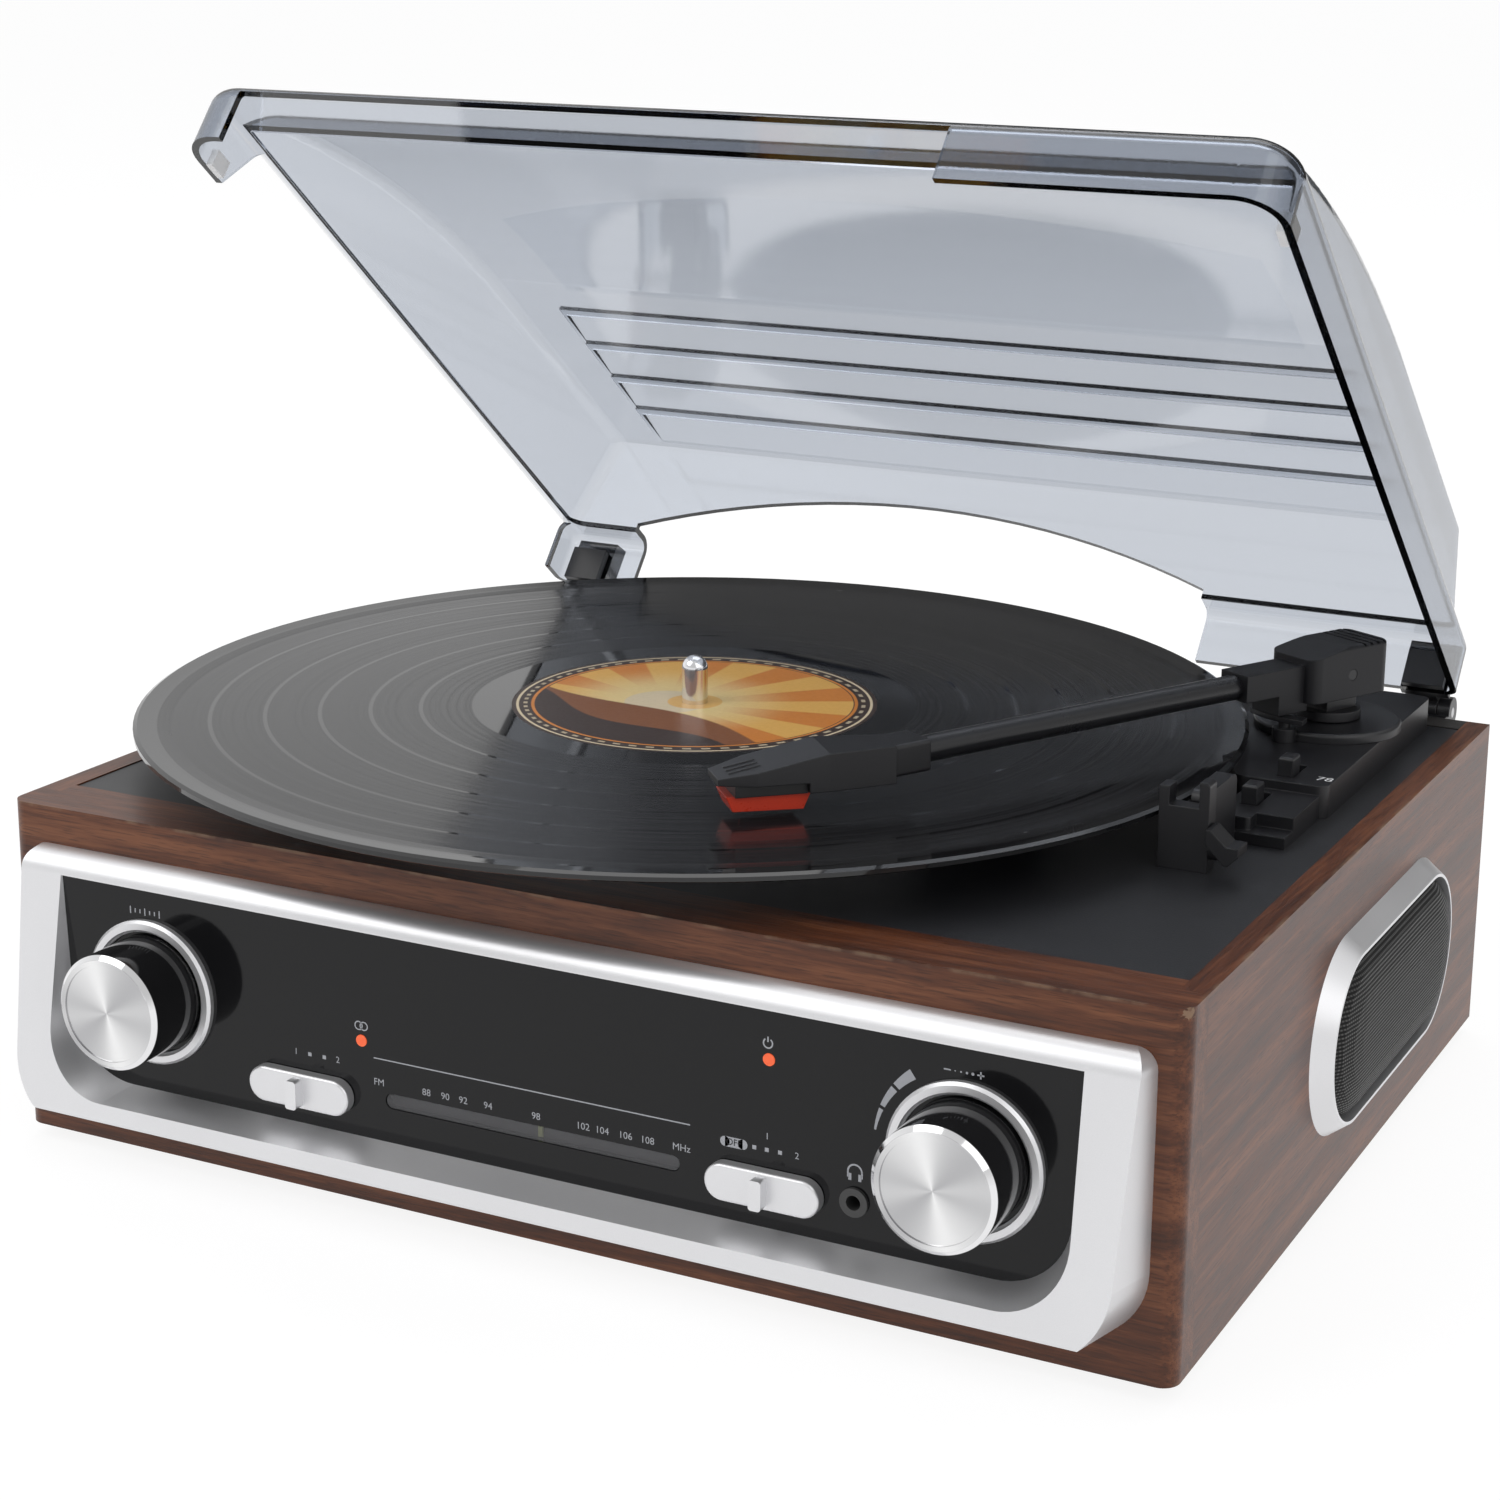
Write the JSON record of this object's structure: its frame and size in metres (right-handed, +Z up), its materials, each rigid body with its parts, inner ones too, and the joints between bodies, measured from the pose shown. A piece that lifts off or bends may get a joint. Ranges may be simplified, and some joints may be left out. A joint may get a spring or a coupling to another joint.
{
  "type": "record player with radio",
  "caption": "Compact wooden record player with a radio front, side loudspeakers, a straight tone arm, a record on its platter and a hinged smoky lid.",
  "frame": {"origin": "on the resting plane, under the centre of the wooden case", "axes": "+X right and +Z up, seen from the front; the front with its knobs faces -Y"},
  "size_m": [0.3461, 0.307, 0.2696],
  "materials": {
    "walnut_veneer": "satin, fine grain",
    "black_board": "matte",
    "rubber": "matte",
    "screw_steel": "plain",
    "deck_black": "matte",
    "arm_black": "satin",
    "satin_silver": "satin",
    "panel_black": "gloss",
    "dial_plate": "matte",
    "pointer": "gloss",
    "lamp_orange": "gloss",
    "switch_body": "matte",
    "chrome_metal": "polished",
    "knob_metal": "radially brushed face",
    "shaft_steel": "turned",
    "circuit_board": "satin",
    "speaker_mesh": "fine woven mesh",
    "driver_metal": "satin",
    "motor_metal": "plain",
    "pulley_brass": "turned",
    "belt_rubber": "matte",
    "platter_aluminium": "turned",
    "mat_rubber": "matte",
    "vinyl": "gloss with fine grooves",
    "label_paper": "satin print",
    "cartridge_black": "matte",
    "stylus_red": "gloss",
    "smoky_lid": "clear, gloss",
    "clear_bumper": "satin"
  },
  "bodies": {
    "case": {"front_board": "walnut_veneer", "left_board": "walnut_veneer", "right_board": "walnut_veneer", "rear_board": "black_board", "base_plate": "black_board", "rubber_feet": "rubber", "case_screws": "screw_steel", "deck_plate": "deck_black", "front_bezel": "satin_silver", "control_panel": "panel_black", "dial_backplate": "dial_plate", "indicator_lamps": "lamp_orange", "slide_switches": "switch_body", "headphone_jack": "chrome_metal", "knob_collars": "satin_silver", "tuning_capacitor": "switch_body", "volume_potentiometer": "driver_metal", "radio_board": "circuit_board", "speaker_ring_left": "satin_silver", "speaker_ring_right": "satin_silver", "speaker_grille_left": "speaker_mesh", "speaker_grille_right": "speaker_mesh", "speaker_drivers": "driver_metal", "amplifier_board": "circuit_board", "power_inlet": "switch_body", "motor": "motor_metal", "motor_bracket": "motor_metal", "drive_belt": "belt_rubber", "spindle_bearing": "pulley_brass", "arm_plinth": "arm_black", "arm_base_disc": "arm_black", "arm_rest": "arm_black", "hinge_bases": "arm_black", "hinge_pins": "shaft_steel"},
    "lid": {"lid_shell": "smoky_lid", "lid_bumpers": "clear_bumper", "hinge_leaves": "arm_black"},
    "turntable": {"platter": "platter_aluminium", "platter_mat": "mat_rubber", "vinyl_record": "vinyl", "record_label": "label_paper", "spindle": "shaft_steel"},
    "pulley": {"motor_pulley": "pulley_brass"},
    "arm_yoke": {"arm_fork": "arm_black"},
    "arm": {"arm_housing": "arm_black", "tonearm_tube": "arm_black", "headshell": "arm_black", "cartridge": "cartridge_black", "stylus_holder": "stylus_red"},
    "cue": {"cue_lever": "arm_black"},
    "lifter": {"arm_lifter": "arm_black"},
    "tuning": {"tuning_knob": "knob_metal", "tuning_shaft": "shaft_steel"},
    "volume": {"volume_knob": "knob_metal", "volume_shaft": "shaft_steel"},
    "pointer": {"dial_pointer": "pointer"},
    "function_slide": {"function_slide_cap": "satin_silver"},
    "power_slide": {"power_slide_cap": "satin_silver"},
    "speed_slide": {"speed_selector": "arm_black"},
    "stop_slide": {"auto_stop_selector": "arm_black"}
  },
  "joints": [
    {"name": "lid_hinge", "type": "hinge", "parent": "case", "child": "lid", "pos_m": [0, 0.1364, 0.0924], "axis": [-1, 0, 0], "range_deg": [-39.7, 20]},
    {"name": "platter_spin", "type": "hinge", "parent": "case", "child": "turntable", "pos_m": [-0.0282, -0.0011, 0.1], "axis": [0, 0, -1], "continuous": true},
    {"name": "motor_spin", "type": "hinge", "parent": "case", "child": "pulley", "pos_m": [-0.08866, 0.05936, 0.095], "axis": [0, 0, -1], "continuous": true},
    {"name": "arm_swing", "type": "hinge", "parent": "case", "child": "arm_yoke", "pos_m": [0.1275, 0.075, 0.1174], "axis": [0, 0, 1], "range_deg": [-17, 26.5]},
    {"name": "cue_lift", "type": "hinge", "parent": "case", "child": "cue", "pos_m": [0.135, -0.036, 0.0992], "axis": [-1, 0, 0], "range_deg": [0, 50.2]},
    {"name": "arm_tilt", "type": "hinge", "parent": "arm_yoke", "child": "arm", "pos_m": [0.1275, 0.075, 0.1174], "axis": [-0.887, 0.4617, 0], "range_deg": [0, 3]},
    {"name": "lifter_rise", "type": "slide", "parent": "case", "child": "lifter", "axis": [0, 0, 1], "range_m": [0, 0.00102]},
    {"name": "tuning_turn", "type": "hinge", "parent": "case", "child": "tuning", "pos_m": [-0.1117, -0.14, 0.051], "axis": [0, 1, 0], "range_deg": [-135, 135]},
    {"name": "pointer_slide", "type": "slide", "parent": "case", "child": "pointer", "axis": [1, 0, 0], "range_m": [-0.0371, 0.0371]},
    {"name": "volume_turn", "type": "hinge", "parent": "case", "child": "volume", "pos_m": [0.1117, -0.14, 0.051], "axis": [0, 1, 0], "range_deg": [-150, 150]},
    {"name": "function_slide_move", "type": "slide", "parent": "case", "child": "function_slide", "axis": [1, 0, 0], "range_m": [0, 0.003]},
    {"name": "power_slide_move", "type": "slide", "parent": "case", "child": "power_slide", "axis": [1, 0, 0], "range_m": [0, 0.003]},
    {"name": "speed_slide_move", "type": "slide", "parent": "case", "child": "speed_slide", "axis": [0, 1, 0], "range_m": [0, 0.006]},
    {"name": "stop_slide_move", "type": "slide", "parent": "case", "child": "stop_slide", "axis": [0, 1, 0], "range_m": [0, 0.006]}
  ],
  "couplings": [
    {"joint": "motor_spin", "follows": "platter_spin", "ratio": 12.5},
    {"joint": "cue_lift", "follows": "arm_tilt", "ratio": 16.667},
    {"joint": "lifter_rise", "follows": "arm_tilt", "m_per_rad": 0.0191},
    {"joint": "pointer_slide", "follows": "tuning_turn", "m_per_rad": 0.0157}
  ]
}
